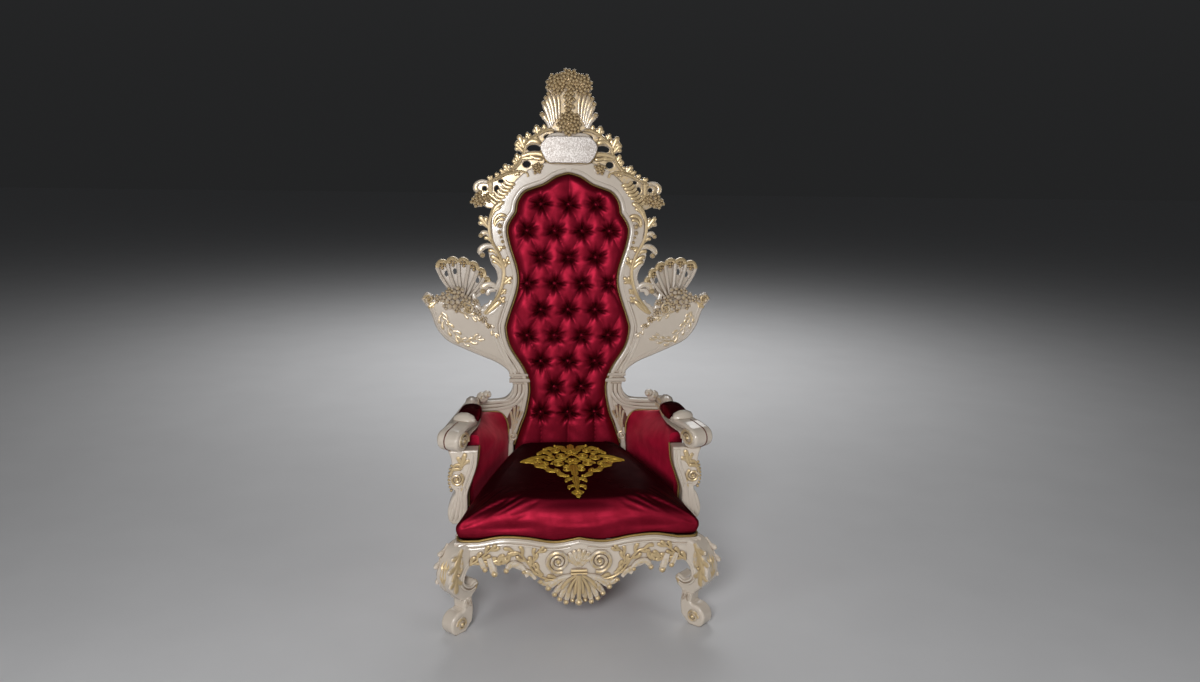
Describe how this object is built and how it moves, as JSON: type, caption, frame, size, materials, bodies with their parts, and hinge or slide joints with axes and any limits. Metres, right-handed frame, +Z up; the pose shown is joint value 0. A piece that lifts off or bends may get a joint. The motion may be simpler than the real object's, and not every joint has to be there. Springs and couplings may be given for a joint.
{
  "type": "carved throne",
  "caption": "High-backed ceremonial throne: ivory and gilt carved wood frame with winged stiles and pierced cresting, deep-buttoned crimson satin back, padded seat and scrolled arms.",
  "frame": {"origin": "on the floor, under the middle of the throne's bounding box", "axes": "+Z up, -Y the way the sitter faces, +X to the right seen from the front"},
  "size_m": [1.156, 0.8362, 1.9498],
  "materials": {
    "ivory_wood": "ivory lacquer with gilded carving",
    "gilt_wood": "antique gold leaf over ivory",
    "silver_glitter": "silver-white glitter lacquer",
    "crimson_satin": "crimson satin",
    "gold_braid": "gold braid and embroidery"
  },
  "bodies": {
    "root": {"back_frame": "ivory_wood", "cresting": "gilt_wood", "tablet": "silver_glitter", "wing_right": "ivory_wood", "wing_left": "ivory_wood", "tufted_back": "crimson_satin", "rear_panel": "crimson_satin", "back_piping": "gold_braid", "button_01": "crimson_satin", "button_02": "crimson_satin", "button_03": "crimson_satin", "button_04": "crimson_satin", "button_05": "crimson_satin", "button_06": "crimson_satin", "button_07": "crimson_satin", "button_08": "crimson_satin", "button_09": "crimson_satin", "button_10": "crimson_satin", "button_11": "crimson_satin", "button_12": "crimson_satin", "button_13": "crimson_satin", "button_14": "crimson_satin", "button_15": "crimson_satin", "button_16": "crimson_satin", "button_17": "crimson_satin", "button_18": "crimson_satin", "button_19": "crimson_satin", "button_20": "crimson_satin", "button_21": "crimson_satin", "button_22": "crimson_satin", "button_23": "crimson_satin", "button_24": "crimson_satin", "button_25": "crimson_satin", "button_26": "crimson_satin", "button_27": "crimson_satin", "button_28": "crimson_satin", "button_29": "crimson_satin", "front_rail": "ivory_wood", "front_leg_right": "ivory_wood", "front_leg_left": "ivory_wood", "back_leg_right": "ivory_wood", "back_leg_left": "ivory_wood", "side_rail_right": "ivory_wood", "side_rail_left": "ivory_wood", "back_rail": "ivory_wood", "seat_cushion": "crimson_satin", "seat_gimp": "gold_braid", "seat_applique": "gold_braid", "arm_right": "ivory_wood", "arm_left": "ivory_wood", "arm_pad_right": "crimson_satin", "arm_pad_left": "crimson_satin", "arm_post_right": "ivory_wood", "arm_post_left": "ivory_wood", "side_panel_right": "crimson_satin", "side_panel_left": "crimson_satin"}
  },
  "joints": []
}
